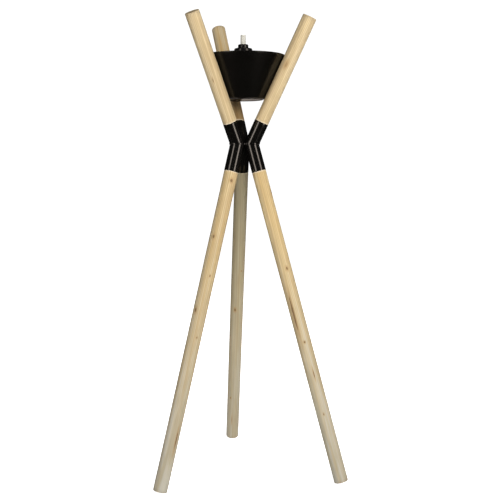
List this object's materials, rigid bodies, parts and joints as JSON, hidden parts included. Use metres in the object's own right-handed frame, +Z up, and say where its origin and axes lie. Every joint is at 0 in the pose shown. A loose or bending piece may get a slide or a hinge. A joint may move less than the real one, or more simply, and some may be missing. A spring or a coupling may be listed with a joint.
{
  "type": "tripod garden torch",
  "caption": "Free-standing garden oil torch: a welded hub joins splayed wooden legs and arms, and a conical oil bowl with a wick burner nests between the arms.",
  "frame": {"origin": "on the ground, on the vertical axis through the middle of the hub and the bowl", "axes": "+Z up along the axis of the hub; the back leg stands towards +Y, the left leg towards -X and -Y, the right leg towards +X and -Y"},
  "size_m": [0.4791, 0.416, 1.142],
  "materials": {
    "leg_wood": "bare turned wood, weathered grey towards the feet",
    "arm_wood": "bare turned wood, smooth",
    "hub_paint": "semi-gloss black powder coat",
    "bowl_paint": "satin black powder coat",
    "burner_paint": "semi-gloss black enamel",
    "zinc_steel": "zinc plated",
    "cork_rubber": "matt cork and rubber sheet",
    "glass_fibre": "braided glass fibre"
  },
  "bodies": {
    "stand": {"leg_left": "leg_wood", "leg_right": "leg_wood", "leg_back": "leg_wood", "arm_left": "arm_wood", "arm_right": "arm_wood", "arm_back": "arm_wood", "leg_socket_left": "hub_paint", "leg_socket_right": "hub_paint", "leg_socket_back": "hub_paint", "arm_socket_left": "hub_paint", "arm_socket_right": "hub_paint", "arm_socket_back": "hub_paint", "hub_plate": "hub_paint", "leg_nuts": "zinc_steel", "arm_nuts": "zinc_steel", "leg_bolts": "zinc_steel", "arm_bolts": "zinc_steel"},
    "oil_bowl": {"bowl_shell": "bowl_paint", "bowl_base": "bowl_paint", "bowl_lid": "bowl_paint", "filler_neck": "burner_paint"},
    "gasket": {"cap_gasket": "cork_rubber"},
    "wick_holder": {"wick_tube": "burner_paint"},
    "cap": {"burner_cap": "burner_paint"},
    "wick_stem": {"wick": "glass_fibre"}
  },
  "joints": [
    {"name": "bowl_lift", "type": "slide", "parent": "stand", "child": "oil_bowl", "axis": [0, 0, 1], "range_m": [0, 0.25]},
    {"name": "burner_lift", "type": "slide", "parent": "oil_bowl", "child": "gasket", "axis": [0, 0, 1], "range_m": [0, 0.13]},
    {"name": "thread_rise", "type": "slide", "parent": "gasket", "child": "wick_holder", "axis": [0, 0, 1], "range_m": [0, 0.006]},
    {"name": "cap_turn", "type": "hinge", "parent": "wick_holder", "child": "cap", "pos_m": [0, 0, 1.058], "axis": [0, 0, 1], "range_deg": [0, 720]},
    {"name": "wick_feed", "type": "slide", "parent": "wick_holder", "child": "wick_stem", "axis": [0, 0, 1], "range_m": [-0.018, 0.02]}
  ],
  "couplings": [
    {"joint": "thread_rise", "follows": "cap_turn", "m_per_rad": 0.00047746}
  ]
}
